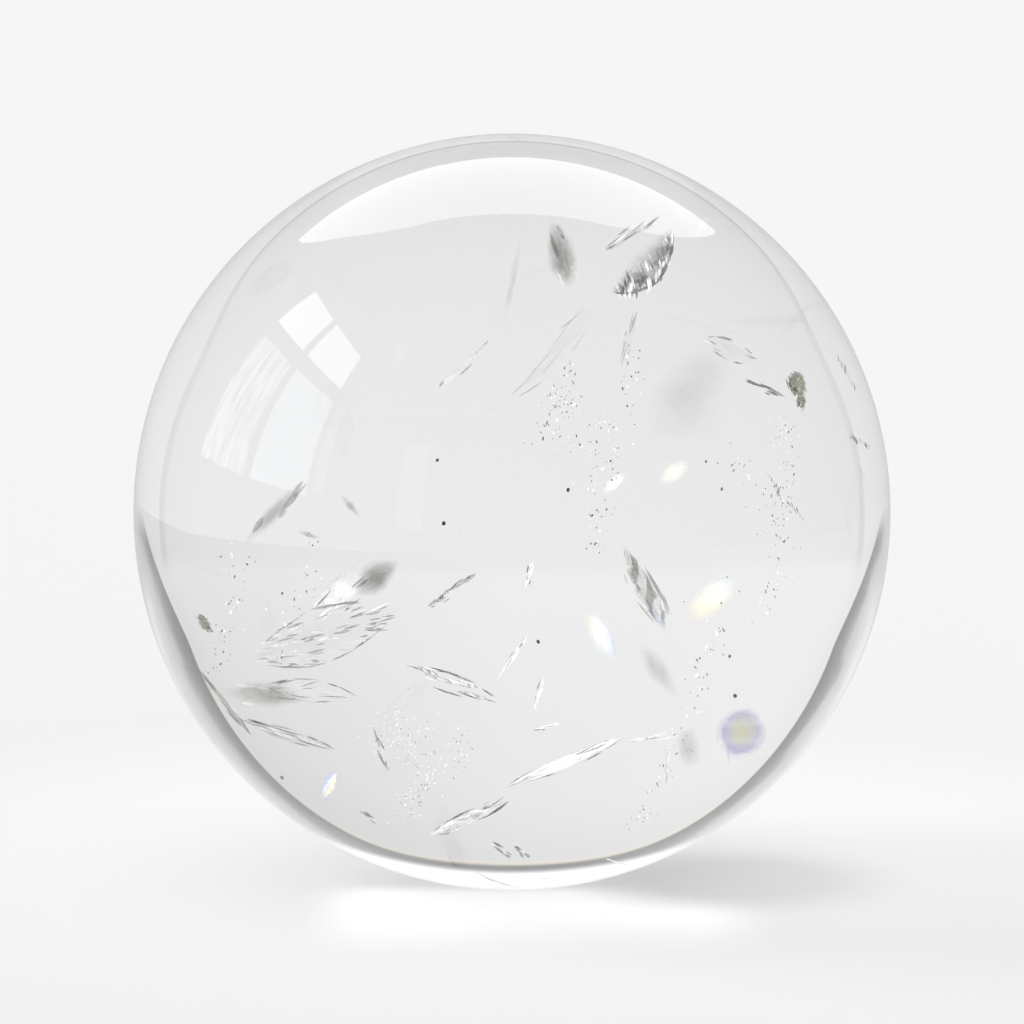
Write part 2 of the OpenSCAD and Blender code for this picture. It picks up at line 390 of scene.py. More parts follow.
def window_pane(name, start, end, zs, glow, tint, trees):
    """An upright lit sheet from start to end (x, y), with blurred streaks of branches outside."""
    mesh = bpy.data.meshes.new(name)
    corners = [(*start, zs[0]), (*end, zs[0]), (*end, zs[1]), (*start, zs[1])]
    mesh.from_pydata(corners, [], [(0, 1, 2, 3)])
    lit, tree = new_material(name)
    spot = add(tree, "ShaderNodeTexCoord").outputs["Object"]
    lean = add(tree, "ShaderNodeMapping", Vector=spot, Rotation=(BRANCH_LEAN, 0, 0),
               Scale=BRANCH_STRETCH)
    noise = add(tree, "ShaderNodeTexNoise", Vector=lean.outputs[0], Scale=1, Detail=3)
    dim = ramp(tree, noise.outputs["Fac"], ((BRANCH_DARK, 1 - trees), (BRANCH_LIGHT, 1)))
    colour = blend_colours(tree, 1.0, (*tint, 1), dim, "MULTIPLY")
    finish_surface(tree, add(tree, "ShaderNodeEmission", Color=colour, Strength=glow).outputs[0])
    pane = new_piece(name, mesh, lit)
    mirrored_only(pane)


pane_y = ((WINDOW_Y[0], BAR_Y - BAR / 2), (BAR_Y + BAR / 2, WINDOW_Y[1]))
pane_z = ((WINDOW_Z[0], TRANSOM - TRANSOM_BAR / 2), (TRANSOM + TRANSOM_BAR / 2, WINDOW_Z[1]))
for name, side, storey, glow, tint, trees in PANES:
    start, end = ((WINDOW_X, y) for y in pane_y[side])
    window_pane("window_" + name, start, end, pane_z[storey], glow, tint, trees)
for side_window in SIDE_WINDOWS:
    window_pane(*side_window)
print("panes", len(PANES) + len(SIDE_WINDOWS))

# %% [markdown]
# ## The sun
# A low soft sun from the left throws the faint shadow to the right. It is kept out of the polish
# and the crystal, where its disc would show as a hard spot.

# %% Sun
SUN_HIGH = math.radians(33)
SUN_TURN = math.radians(12)
SUN_ENERGY = 0.55
SUN_WIDE = math.radians(32)

sun_data = bpy.data.lights.new("low_sun", "SUN")
sun_data.energy = SUN_ENERGY
sun_data.angle = SUN_WIDE
sun = bpy.data.objects.new("low_sun", sun_data)
bpy.context.scene.collection.objects.link(sun)
beam = Vector((math.cos(SUN_TURN), -math.sin(SUN_TURN), -math.tan(SUN_HIGH)))
sun.rotation_euler = beam.to_track_quat("-Z", "Y").to_euler()
sun.visible_glossy = sun.visible_transmission = False
print("sun", round(math.degrees(SUN_HIGH)), "degrees high")

# %% [markdown]
# ## The overhead reflector
# A white reflector hangs over the ball and mirrors as the crescent along its top. It is a glowing
# sheet that shows in the polish only and lights nothing. A plain square would mirror with a smooth
# lower edge. This one has a scalloped front, so its outline is made from cusps with a bowed edge
# between each two.

# %% Overhead reflector
REFLECTOR_UP = 1.0
REFLECTOR_GLOW = 2.1
SCALLOP_STEPS = 12
REFLECTOR_EDGE = (
    # across and back of each cusp of the front edge, then how far its scallop bows out
    ((-0.87, 1.12), 0), ((-0.6, 0.56), 0.03), ((-0.36, 0.34), 0.02), ((0.33, 0.33), 0.05),
    ((0.6, 0.55), 0.02), ((0.8, 1.12), 0.03),
)
BACK_EDGE = 1.21


def reflector_outline():
    """A straight back edge and scallops along the front."""
    points = [(REFLECTOR_EDGE[-1][0][0], BACK_EDGE), (REFLECTOR_EDGE[0][0][0], BACK_EDGE)]
    for (start, _), (end, bow) in zip(REFLECTOR_EDGE, REFLECTOR_EDGE[1:]):
        along = Vector(end) - Vector(start)
        out = Vector((along.y, -along.x)).normalized()
        for t in np.linspace(0, 1, SCALLOP_STEPS)[1:]:
            spot = Vector(start) + along * t + out * bow * math.sin(math.pi * t)
            points.append((spot.x, spot.y))
    return points


glow_white, tree = new_material("reflector")
painted_glow = add(tree, "ShaderNodeEmission", Color=grey(1), Strength=REFLECTOR_GLOW)
finish_surface(tree, painted_glow.outputs[0])
reflector = flat_sheet("reflector", reflector_outline(), REFLECTOR_UP, glow_white)
mirrored_only(reflector)
print("reflector outline", len(reflector_outline()), "corners")

# %% [markdown]
# ## Light that the ball throws on the paper
# A clear ball gathers light into a bright pool in front of it and spreads some all round it.
# Tracing that light needs far more samples than a picture of this kind can spend. So a sheet
# just over the paper adds it: clear, with a glow that has soft edges and is dark at the contact.

# %% Pool of light
POOL_EDGES = (
    # axis, where the light begins and where it is full, in mm
    (0, -17, -10), (0, 21, 14), (1, -1, -6), (1, -30, -9),
)
POOL_GLOW = 0.26
POOL_SHEET = 0.1
SPREAD_SPOT, SPREAD_END, SPREAD_FULL = (0, 15), 75, 15
SPREAD_GLOW = 0.14
CONTACT_SPOT, CONTACT_END, CONTACT_FULL = (18, 0), 16, 6


def round_patch(tree, spot, centre, end, full):
    """1 near the centre and 0 past the end, both distances in mm."""
    distance = add(tree, "ShaderNodeVectorMath", {"operation": "DISTANCE"})
    tree.links.new(spot, distance.inputs[0])
    distance.inputs[1].default_value = (centre[0] * MM, centre[1] * MM, -FLOOR_GAP / 2)
    return smooth_step(tree, distance.outputs["Value"], end * MM, full * MM)


def paper_glow(tree):
    """The pool, and the fainter light that the ball spreads round it, less its contact shadow."""
    spot = add(tree, "ShaderNodeTexCoord").outputs["Object"]
    axes = add(tree, "ShaderNodeSeparateXYZ", Vector=spot).outputs
    pool = POOL_GLOW
    for axis, begins, full in POOL_EDGES:
        pool = maths(tree, "MULTIPLY", smooth_step(tree, axes[axis], begins * MM, full * MM), pool)
    spread = round_patch(tree, spot, SPREAD_SPOT, SPREAD_END, SPREAD_FULL)
    contact = round_patch(tree, spot, CONTACT_SPOT, CONTACT_END, CONTACT_FULL)
    glow = maths(tree, "MULTIPLY_ADD", spread, SPREAD_GLOW, pool)
    return maths(tree, "MULTIPLY", glow, maths(tree, "SUBTRACT", 1, contact))


pool_light, tree = new_material("pool_of_light")
clear = add(tree, "ShaderNodeBsdfTransparent")
lit = add(tree, "ShaderNodeEmission", Strength=paper_glow(tree))
both = add(tree, "ShaderNodeAddShader")
tree.links.new(clear.outputs[0], both.inputs[0])
tree.links.new(lit.outputs[0], both.inputs[1])
finish_surface(tree, both.outputs[0])
pool = flat_sheet("pool_of_light", square(POOL_SHEET), -FLOOR_GAP / 2, pool_light)
for rays in ("diffuse", "glossy", "transmission", "shadow"):
    setattr(pool, "visible_" + rays, False)
print("pool of light", pool_light.name)

# %% [markdown]
# ## Bounces
# Light that reaches a fracture and comes back has passed the crystal's skin twice and may cross
# many other films. Each crossing uses up a bounce, and a path that runs out of them turns black,
# so the limits are set high.

# %% Bounce limits
scene = bpy.context.scene
scene.view_settings.view_transform = "Standard"
scene.cycles.use_denoising = True
scene.cycles.max_bounces = 16
scene.cycles.transmission_bounces = 14
scene.cycles.transparent_max_bounces = 24
scene.cycles.glossy_bounces = 8
print("bounces", scene.cycles.max_bounces)

# %% [markdown]
# ## The host crystal
# The ball is ground and polished to a true sphere, with a small flat to stand on. A UV sphere
# would crowd its faces at two poles. An icosphere has faces of nearly one size all over, so
# nothing shows at its poles. Cutting it at the paper's height leaves the flat.

# %% Ball shape
def ball_mesh():
    bm = bmesh.new()
    bmesh.ops.create_icosphere(bm, subdivisions=7, radius=RADIUS, matrix=Matrix.Translation(CENTRE))
    whole = bm.verts[:] + bm.edges[:] + bm.faces[:]
    bmesh.ops.bisect_plane(bm, geom=whole, plane_co=(0, 0, 0), plane_no=(0, 0, -1), clear_outer=True)
    for face in bm.faces:
        face.smooth = True
    rim = [e for e in bm.edges if e.is_boundary]
    sole = bmesh.ops.contextual_create(bm, geom=rim)["faces"]
    for face in sole:
        face.smooth = False
    for edge in rim:
        edge.smooth = False
    mesh = bpy.data.meshes.new("quartz_ball")
    bm.to_mesh(mesh)
    bm.free()
    return mesh


print("flat cut at z = 0, ball", round(2 * RADIUS / MM), "mm across")

# %% Clear quartz
QUARTZ_IOR = 1.546
QUARTZ_TINT = (0.93, 0.95, 0.97, 1)
QUARTZ_DEPTH = 1.2

crystal, tree = new_material("clear_quartz")
glass = add(tree, "ShaderNodeBsdfPrincipled", IOR=QUARTZ_IOR, Roughness=0.0, Base_Color=grey(1),
            Transmission_Weight=1)
depth = add(tree, "ShaderNodeVolumeAbsorption", Color=QUARTZ_TINT, Density=QUARTZ_DEPTH)
finish_surface(tree, glass.outputs[0], depth.outputs[0])
ball = new_piece("quartz_ball", ball_mesh(), crystal)
lowest = min(v.co.z for v in ball.data.vertices)
print("ball", len(ball.data.polygons), "faces, lowest", round(lowest / MM, 3))

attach(ball, "root")
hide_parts("quartz_body")

# %% [markdown]
# ## Fractures
# A fracture inside quartz is a film of gas, far thinner than a hair. Light that meets it at a
# slant bounces off as from a mirror, so the film looks white where it mirrors something bright,
# dark where it mirrors something dark, and is hardly there in between. Its face isn't smooth:
# fine ridges called hackles run along it or fan out from where it began. Each film here is a
# thin closed leaf in the place of its CAD leaf, with separate slender hackles laid on it. Two
# attributes go with every point: cover, how solid it looks, and tone, from dark to white. Tone
# is partly the film's own grey, smoke or green and partly painted reflection: dark tones on
# films, hackles and rims stand in for the dark room they would mirror, and white ones for its
# lights. One shader reads both, so the whole family of fractures needs only a few finishes.

# %% Separate solids of a CAD node
WELD = 0.001 * MM


def loose_parts(node):
    """The points of each separate solid of a CAD node, in the same order every run."""
    bm = bmesh.new()
    bm.from_mesh(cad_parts[node].data)
    bmesh.ops.remove_doubles(bm, verts=bm.verts[:], dist=WELD)
    left = set(bm.verts)
    parts = []
    for first in bm.verts:
        if first not in left:
            continue
        left.remove(first)
        group = [first]
        for vert in group:
            near = [e.other_vert(vert) for e in vert.link_edges]
            fresh = [v for v in near if v in left]
            left.difference_update(fresh)
            group.extend(fresh)
        parts.append(np.array([v.co for v in group]))
    bm.free()
    return sorted(parts, key=lambda points: tuple(np.round(points.mean(0) / MM, 3)))


print("green flakes", len(loose_parts("green_flakes")))

# %% How a CAD leaf lies
def lie(points):
    """Centre, long, wide and facing axes, length and width of a leaf's points."""
    centre = points.mean(0)
    axes = np.linalg.svd(points - centre, full_matrices=False)[2]
    long_axis = axes[0] * (1 if axes[0][0] > 0 else -1)
    face = axes[2] * (1 if axes[2][1] < 0 else -1)
    wide_axis = np.cross(face, long_axis)
    along, over = (points - centre) @ long_axis, (points - centre) @ wide_axis
    centre = centre + long_axis * (along.max() + along.min()) / 2
    centre = centre + wide_axis * (over.max() + over.min()) / 2
    return centre, long_axis, wide_axis, face, np.ptp(along), np.ptp(over)


print("crown feather", round(lie(loose_parts("crown_feather")[0])[4] / MM, 1), "mm long")

# %% Leaf outlines
# An outline gives the half width at u, along the leaf, as a share of its widest. It also gets v,
# across the leaf, so that its two sides can differ.
LEAF_SHAPE, LEAF_TIP = 1.7, 0.85
WAVES_A_SIDE = 4


def leaf_edge(u, v):
    return (1 - abs(u) ** LEAF_SHAPE) ** LEAF_TIP


def round_edge(u, v):
    return math.sqrt(max(1 - u * u, 0))


def ragged_edge(rng, rough):
    """A leaf edge with splintery bites, different on its two sides."""
    waves = [[(rng.uniform(5, 9) * k, rng.uniform(0, 6), rough / k ** 0.7)
              for k in range(1, WAVES_A_SIDE + 1)] for _ in range(2)]
    skew = rng.uniform(-0.25, 0.25)

    def edge(u, v):
        bite = sum(size * abs(math.sin(rate * u + phase)) for rate, phase, size in waves[v > 0])
        return leaf_edge(u, v) * max(1 - bite, 0.12) * (1 + skew * u)

    return edge


print("plain leaf half way to its tip", round(leaf_edge(0.5, 0), 2), "of its width")

# %% Leaf after leaf into one mesh
class Film:
    """Gathers closed leaves into one mesh, with cover and tone on every point."""

    def __init__(self):
        self.points, self.faces, self.cover, self.tone, self.uv = [], [], [], [], []

    def leaf(self, place, centre, turn, size, rows, columns, looks, edge=leaf_edge):
        """A thin closed leaf. looks(u, v) gives cover, tone and height for u, v in -1 to 1."""
        at, long_axis, wide_axis, face = place
        along = math.cos(turn) * long_axis + math.sin(turn) * wide_axis
        over = np.cross(face, along)
        middle = at + long_axis * centre[0] + wide_axis * centre[1]
        first = len(self.points)
        for side in (1, -1):
            for i in range(rows + 1):
                u = 2 * i / rows - 1
                for j in range(columns + 1):
                    v = 2 * j / columns - 1
                    half = size[1] / 2 * edge(u, v)
                    cover, tone, height = looks(u, v)
                    lift = side * size[2] / 2 * (1 - v * v) * (1 - u * u) + height
                    spot = middle + along * u * size[0] / 2 + over * v * half + face * lift
                    self.points.append(spot)
                    self.cover.append(cover)
                    self.tone.append(tone)
                    self.uv.append((u * size[0] / MM, v * half / MM))
        step, sheet = columns + 1, (rows + 1) * (columns + 1)
        for i in range(rows):
            for j in range(columns):
                a = first + i * step + j
                self.faces.append((a, a + step, a + step + 1, a + 1))
                b = a + sheet
                self.faces.append((b, b + 1, b + step + 1, b + step))

    def mesh(self, name):
        mesh = bpy.data.meshes.new(name)
        mesh.from_pydata([tuple(p) for p in self.points], [], self.faces)
        for title, values in (("cover", self.cover), ("tone", self.tone)):
            mesh.attributes.new(title, "FLOAT", "POINT").data.foreach_set("value", values)
        layer = mesh.uv_layers.new(name="grain")
        flat = [c for loop in mesh.loops for c in self.uv[loop.vertex_index]]
        layer.data.foreach_set("uv", flat)
        mesh.polygons.foreach_set("use_smooth", [True] * len(mesh.polygons))
        bm = bmesh.new()
        bm.from_mesh(mesh)
        bmesh.ops.remove_doubles(bm, verts=bm.verts[:], dist=WELD / 2)
        bm.to_mesh(mesh)
        bm.free()
        return mesh


print("leaves are gathered, welded and shaded smooth")

# %% [markdown]
# ### The finish of a fracture
# Three things show at once: the clear gap, its mirror at a slant, and where the gap is rough a
# solid-looking body, grey to white. A Fresnel node with the ratio from quartz to gas gives the
# mirror, cover gives the body, and a noise stretched along the grain breaks both into streaks.
# The body's tone is partly painted reflection, and its whitest tones glow as a painted highlight.

# %% Fracture finish
GAP_IOR = 1 / QUARTZ_IOR
STREAKS = (0.5, 6, 1)
STREAK_OPEN, STREAK_SOLID = 0.38, 0.6
MOST_MIRROR = 0.7


def fracture_finish(name, colours, glow, streak=0.6, mirror=0.9, top_only=4, polished=1.5, mottle=0.9):
    """colours: tone stops from dark to white. glow: how strongly the whitest parts glow, a painted
    highlight that outshines the room.

    top_only: how strictly the glow keeps to the whitest tones; at 0 every tone glows.
    streak: how far grain opens the film. polished: how soon it mirrors. mottle: tone unevenness.
    """
    made, tree = new_material(name)
    cover = add(tree, "ShaderNodeAttribute", {"attribute_name": "cover"}).outputs["Fac"]
    tone = add(tree, "ShaderNodeAttribute", {"attribute_name": "tone"}).outputs["Fac"]
    grain = add(tree, "ShaderNodeUVMap", {"uv_map": "grain"}).outputs[0]
    grain = add(tree, "ShaderNodeMapping", Vector=grain, Scale=STREAKS).outputs[0]
    noise = add(tree, "ShaderNodeTexNoise", Vector=grain, Scale=1.2, Detail=4, Distortion=0.6)
    breaks = add(tree, "ShaderNodeMapRange", Value=noise.outputs["Fac"], From_Min=STREAK_OPEN,
                 From_Max=STREAK_SOLID, To_Min=1 - streak, To_Max=1)
    shift = maths(tree, "MULTIPLY", maths(tree, "SUBTRACT", noise.outputs["Fac"], 0.5), mottle)
    tone = add(tree, "ShaderNodeClamp", Value=maths(tree, "ADD", tone, shift)).outputs[0]
    colour = ramp(tree, tone, colours)
    # painted highlight: the whitest tones glow by emission, brighter than the room they would mirror
    painted_glow = maths(tree, "MULTIPLY", maths(tree, "POWER", tone, top_only), glow)
    body = add(tree, "ShaderNodeBsdfPrincipled", Base_Color=colour, Emission_Color=colour,
               Emission_Strength=painted_glow, Roughness=0.35)
    solid = maths(tree, "MULTIPLY", cover, breaks.outputs[0])
    clear = add(tree, "ShaderNodeBsdfTransparent")
    polish = add(tree, "ShaderNodeBsdfGlossy", Color=grey(mirror), Roughness=0.06)
    slant = add(tree, "ShaderNodeFresnel", IOR=GAP_IOR).outputs[0]
    share = maths(tree, "MINIMUM", maths(tree, "MULTIPLY", cover, polished), MOST_MIRROR)
    film = mix_shaders(tree, maths(tree, "MULTIPLY", slant, share), clear, polish)
    finish_surface(tree, mix_shaders(tree, solid, film, body).outputs[0])
    return made


print("gas gap: light bends by", round(GAP_IOR, 3))

# %% Finishes without rainbow colours
# Each row of tones runs from the darkest to the whitest parts of a film; its darkest and whitest ends
# are partly painted reflection.
GREYS = (
    (0, (0.05, 0.05, 0.048)), (0.35, (0.3, 0.3, 0.295)), (0.6, (0.75, 0.75, 0.74)), (0.8, (1, 1, 1)),
)
SMOKES = (
    (0, (0.1, 0.09, 0.07)), (0.4, (0.34, 0.32, 0.27)), (0.7, (0.62, 0.61, 0.55)), (1, (1, 1, 0.97)),
)
GREENS = (
    (0, (0.03, 0.035, 0.02)), (0.35, (0.26, 0.28, 0.14)), (0.7, (0.6, 0.62, 0.4)),
    (1, (0.85, 0.87, 0.75)),
)
PALE = ((0, (0.98, 0.96, 0.84)), (1, (1, 1, 0.98)))
FINISHES = {
    "clear": fracture_finish("gas_film", GREYS, 0.7),
    "smoky": fracture_finish("smoky_film", SMOKES, 0.4, streak=0.35, mirror=0.6, polished=0.25,
                             mottle=0.6),
    "bright": fracture_finish("bright_film", GREYS, 0.42, streak=0.7),
    "green": fracture_finish("chlorite_film", GREENS, 0.2, streak=0.75, mirror=0.5),
    # painted highlight: the pale flashes glow in every tone, standing in for a bright reflection
    "glow": fracture_finish("painted_flash_glow", PALE, 0.42, streak=0.1, top_only=0, polished=0.2, mottle=0.3),
}
print("finishes", sorted(FINISHES))

# %% [markdown]
# ### From a CAD leaf to a film
# A fracture could be one flat plate with a picture on it, but then it would look the same from
# every side. Here it is a leaf, whole or split into shards, with slender hackles laid on it and
# dark slivers along its rim. Its size and place come from the CAD leaf, and a seed of its own
# scatters the rest, so each fracture stays as it is from run to run.

# %% How a leaf fades
WAVE = 0.04 * MM


def soften(x, softness):
    """1 in the middle, 0 at the edge, with the fall spread over softness."""
    t = min(max((1 - abs(x)) / softness, 0), 1)
    return t * t * (3 - 2 * t)


def leaf_looks(base, soft, sweep, rounded, side, phase):
    """Cover, tone and height at u, v of a leaf that fades to its edges, or to one side."""

    def looks(u, v):
        fade = soften(u, soft) * soften(v, soft)
        if rounded:
            fade = soften(math.hypot(u, v * round_edge(u, v)), soft)
        wave = WAVE * math.sin(9 * u + phase + 3 * v) * (1 - v * v)
        if side:
            fade *= max((0.4 + side * v) / 1.4, 0) ** 1.5
        tilt = 0 if rounded else 0.1 * math.sin(3 * v + u + phase)
        tilt += sweep[0] * u + sweep[1] * v + sweep[2] * math.hypot(u, v)
        return base[0] * fade, base[1] + tilt, wave

    return looks


print("half way out, cover is", soften(0.5, 1))

# %% Shards and hackles
LEAF_ROWS, LEAF_COLUMNS = 28, 10
HACKLE_ROWS, HACKLE_COLUMNS = 10, 2
LEAF_THICK, SHARD_THICK, HACKLE_THICK = 0.06 * MM, 0.05 * MM, 0.03 * MM
HACKLE_STRAY = 0.05 * MM
RIM_LENGTH = 0.3


def add_shard(film, rng, place, length, width, share, turn_by, looks, edge):
    """One splinter of a broken leaf. share: which of how many; turn_by: heading and its spread."""
    k, shards = share
    lean, splay = turn_by
    u = -0.8 + 1.6 * (k + rng.uniform(0.2, 0.8)) / shards
    v = rng.uniform(-0.6, 0.6)
    size = (length * rng.uniform(0.9, 1.8) / shards, width * rng.uniform(0.25, 0.6), SHARD_THICK)
    spot = (u * length / 2, v * width / 2 * leaf_edge(u, v))
    turn = math.radians(lean + rng.normal(0, 1) * splay)
    film.leaf(place, spot, turn, size, LEAF_ROWS // 2, LEAF_COLUMNS // 2, looks, edge)


def add_hackle(film, rng, place, length, width, rim, side, lean, splay, reach, thin, dark, strong):
    """One ridge on a leaf, or with rim one dark sliver along its edge."""
    u = rng.uniform(-0.85, 0.85)
    v = rng.choice((-0.9, 0.9)) if rim else rng.uniform(-0.85, 0.85)
    if side:
        v = side * (0.95 - 0.35 * abs(rng.normal(0, 1)) * (not rim))
    long = length * (RIM_LENGTH if rim else reach) * rng.uniform(0.4, 1.2)
    # painted reflection: rims and the dark share of ridges get dark tones, the rest white
    tone = rng.uniform(0.0, 0.25) if rim or rng.random() < dark else rng.uniform(0.9, 1.1)
    depth = HACKLE_STRAY * rng.uniform(-1, 1)
    slope = (leaf_edge(u + 0.05, v) - leaf_edge(u - 0.05, v)) / 0.1 * v * width / length
    heading = math.atan(slope) if rim else math.radians(lean + splay * (v + rng.normal(0, 0.4)))
    cover = strong * rng.uniform(0.55, 1)
    size = (long, thin * MM * rng.uniform(0.5, 1.6), HACKLE_THICK)
    film.leaf(place, (u * length / 2, v * width / 2 * leaf_edge(u, v)), heading, size,
              HACKLE_ROWS, HACKLE_COLUMNS, lambda u, v: (cover * soften(u, 0.5), tone, depth))


print("a leaf is", LEAF_THICK / MM, "mm thick at its middle")

# %% Film maker
def film_piece(node, finish, base, hackles=0, lean=4, reach=0.5, thin=0.1, dark=0.5, soft=0.15,
               splay=8, strong=0.9, sweep=(0, 0, 0), slot="fracture_film", shards=1, rims=0,
               rough=0.22, rounded=False, side=0, plump=1.0, trim=1.0):
    """The visible piece of one fracture node.

    base: (cover, tone) of the leaf itself, which may be broken into shards. hackles: how many
    ridges lie on each leaf; lean and splay: their heading and its spread in degrees; reach:
    their length as a share of the leaf's; thin: their width in mm; dark: the share of dark
    ones; strong: their cover. soft: how far in the leaf's cover fades. sweep: how the tone
    changes along, across and outwards. rims: how many dark slivers follow the leaf's edges.
    rough: how ragged the edges are. rounded: an oval outline. side: 1 or -1 keeps the film to
    that edge. plump and trim: width and length against the CAD leaf's.
    """
    rng = np.random.default_rng(len(node) * 101 + hackles)
    film = Film()
    for points in loose_parts(node):
        centre, long_axis, wide_axis, face, length, width = lie(points)
        place = centre, long_axis, wide_axis, face
        length, width = length * trim, width * plump
        looks = leaf_looks(base, soft, sweep, rounded, side, rng.uniform(0, 6))
        for k in range(shards):
            edge = round_edge if rounded else ragged_edge(rng, rough)
            if shards > 1:
                add_shard(film, rng, place, length, width, (k, shards), (lean, splay), looks, edge)
            else:
                size = (length, width, LEAF_THICK)
                film.leaf(place, (0, 0), 0, size, LEAF_ROWS, LEAF_COLUMNS, looks, edge)
        for k in range(hackles + rims):
            add_hackle(film, rng, place, length, width, k >= hackles, side, lean, splay, reach, thin,
                       dark, strong)
    piece = new_piece(node + "_film", film.mesh(node), FINISHES[finish])
    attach(piece, "root")
    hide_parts(node)
    return piece


print("film maker ready")

# %% [markdown]
# ### Fractures in the upper half
# The crown feather is the strongest: a dished leaf with hackles across it, half of them black
# and half white. The ones near the back are seen through more crystal and look soft.

# %% Upper fractures
film_piece("crown_feather", "clear", (0.75, 0.2), 70, lean=52, reach=0.15, thin=0.15, dark=0.5,
           splay=20, rims=16, sweep=(0.25, -0.2, 0), rough=0.05, side=-1)
film_piece("crown_shelf", "clear", (0.15, 0.3), 8, lean=6, reach=0.4, thin=0.1, dark=0.9, shards=3)
film_piece("crown_splinter", "smoky", (0.6, 0.35), 6, lean=3, reach=0.4, thin=0.16, dark=0.5, soft=0.9,
           strong=0.6, plump=1.3, rough=0.08)
film_piece("crown_wisp", "clear", (0.05, 0.3), 5, lean=3, reach=0.5, thin=0.07, dark=1,
           strong=0.6, rims=3)
film_piece("crown_ray", "clear", (0.03, 0.5), 4, lean=2, reach=0.4, thin=0.05, dark=0.9, strong=0.25,
           soft=0.6, rims=6)
film_piece("north_wisp", "smoky", (0.14, 0.5), soft=0.95)
film_piece("upper_sliver", "bright", (0.1, 0.9), 9, lean=3, reach=0.4, thin=0.15, dark=0.2, rims=2)
film_piece("east_feather", "clear", (0.05, 0.5), 7, lean=3, reach=0.35, thin=0.07, dark=0.9,
           strong=0.6, rims=12)
film_piece("east_dart", "green", (0.8, 0.4), 5, lean=3, reach=0.5, thin=0.12, dark=0.8, soft=0.5,
           shards=2)
film_piece("east_lashes", "clear", (0.1, 0.3), 9, lean=-60, reach=0.3, thin=0.09, dark=0.85, splay=20)
film_piece("ghost_veil", "smoky", (0.13, 0.6), soft=0.95, sweep=(-0.25, 0, 0), rounded=True)
film_piece("ghost_band", "smoky", (0.1, 0.55), soft=0.95)
film_piece("midday_flash", "glow", (0.8, 0.7), soft=0.95, rounded=True)
film_piece("noon_flash", "glow", (0.8, 0.2), soft=0.95, rounded=True, plump=1.5)
print("upper fractures done")

# %% [markdown]
# ### Fractures on the left
# A broad pale lens with combed hackles, a white flash and a smoky patch behind it, and below it
# a fan of long dark splinters that runs out to the rim.

# %% Left fractures
film_piece("west_veil", "smoky", (0.36, 0.5), 5, lean=3, reach=0.35, thin=0.2, dark=0.7, soft=0.95,
           strong=0.35, splay=5, rough=0.12)
film_piece("west_chips", "smoky", (0.35, 0.4), soft=0.95, rough=0.08)
film_piece("west_lens", "clear", (0.06, 0.6), 90, lean=-4, reach=0.13, thin=0.09, dark=0.45, splay=10,
           strong=0.55, rims=12)
film_piece("west_flash", "bright", (0.8, 1.0), 16, lean=8, reach=0.6, thin=0.14, dark=0.1, soft=0.95,
           rough=0.1, trim=1.15, plump=1.5)
film_piece("west_smoke", "smoky", (0.75, 0.3), soft=0.95, rough=0.05, plump=1.4)
film_piece("fan_upper", "clear", (0.03, 0.5), 12, lean=8, reach=0.25, thin=0.07, dark=0.95,
           splay=22, rims=12)
film_piece("fan_middle", "smoky", (0.5, 0.45), 3, lean=2, reach=0.4, thin=0.2, dark=0.6, soft=0.95,
           strong=0.5, rough=0.08, plump=1.4)
film_piece("fan_lower", "clear", (0.15, 0.35), 12, lean=1, reach=0.4, thin=0.12, dark=0.85,
           splay=5, rims=10)
film_piece("west_rim", "smoky", (0.3, 0.4), 14, lean=10, reach=0.35, thin=0.14, dark=0.6, rims=6)
print("left fractures done")

# %% [markdown]
# ### Fractures in the middle and near the base
# Short dark darts and a ribbed feather in the middle, and long white blades lower down.

# %% Middle and base fractures
film_piece("centre_dart", "clear", (0.55, 0.4), 6, lean=5, reach=0.2, thin=0.16, dark=0.9,
           splay=12, shards=6)
film_piece("centre_feather", "clear", (0.5, 0.45), 8, lean=4, reach=0.25, thin=0.14, dark=0.8, splay=8,
           shards=4, rims=12)
film_piece("centre_slivers", "bright", (0.9, 1.0), 3, lean=3, reach=0.4, thin=0.1, dark=0.4, soft=0.4,
           rims=2, rough=0.08, plump=0.8)
film_piece("long_blade", "bright", (0.9, 1.0), 12, lean=2, reach=0.35, thin=0.09, dark=0.4, soft=0.35,
           splay=4, rims=8, rough=0.12)
film_piece("long_tail", "bright", (0.8, 1.0), 3, lean=2, reach=0.4, thin=0.08, dark=0.3,
           soft=0.5, shards=3)
film_piece("short_blade", "bright", (0.7, 0.9), 16, lean=5, reach=0.25, thin=0.16, dark=0.6,
           soft=0.3, rims=6)
film_piece("base_darts", "clear", (0.6, 0.35), 4, lean=5, reach=0.5, thin=0.14, dark=0.6,
           soft=0.4, shards=3, plump=1.2)
film_piece("south_dart", "clear", (0.55, 0.4), 4, lean=3, reach=0.3, thin=0.1, dark=0.9,
           soft=0.4, shards=4)
film_piece("plumb_sliver", "bright", (0.9, 1.0), 2, lean=2, reach=0.5, thin=0.08, dark=0.5, soft=0.4)
film_piece("sole_slivers", "bright", (0.8, 0.9), 8, lean=4, reach=0.5, thin=0.12, dark=0.5, soft=0.4,
           rims=4, trim=1.5, plump=1.6)
print("middle and base fractures done")
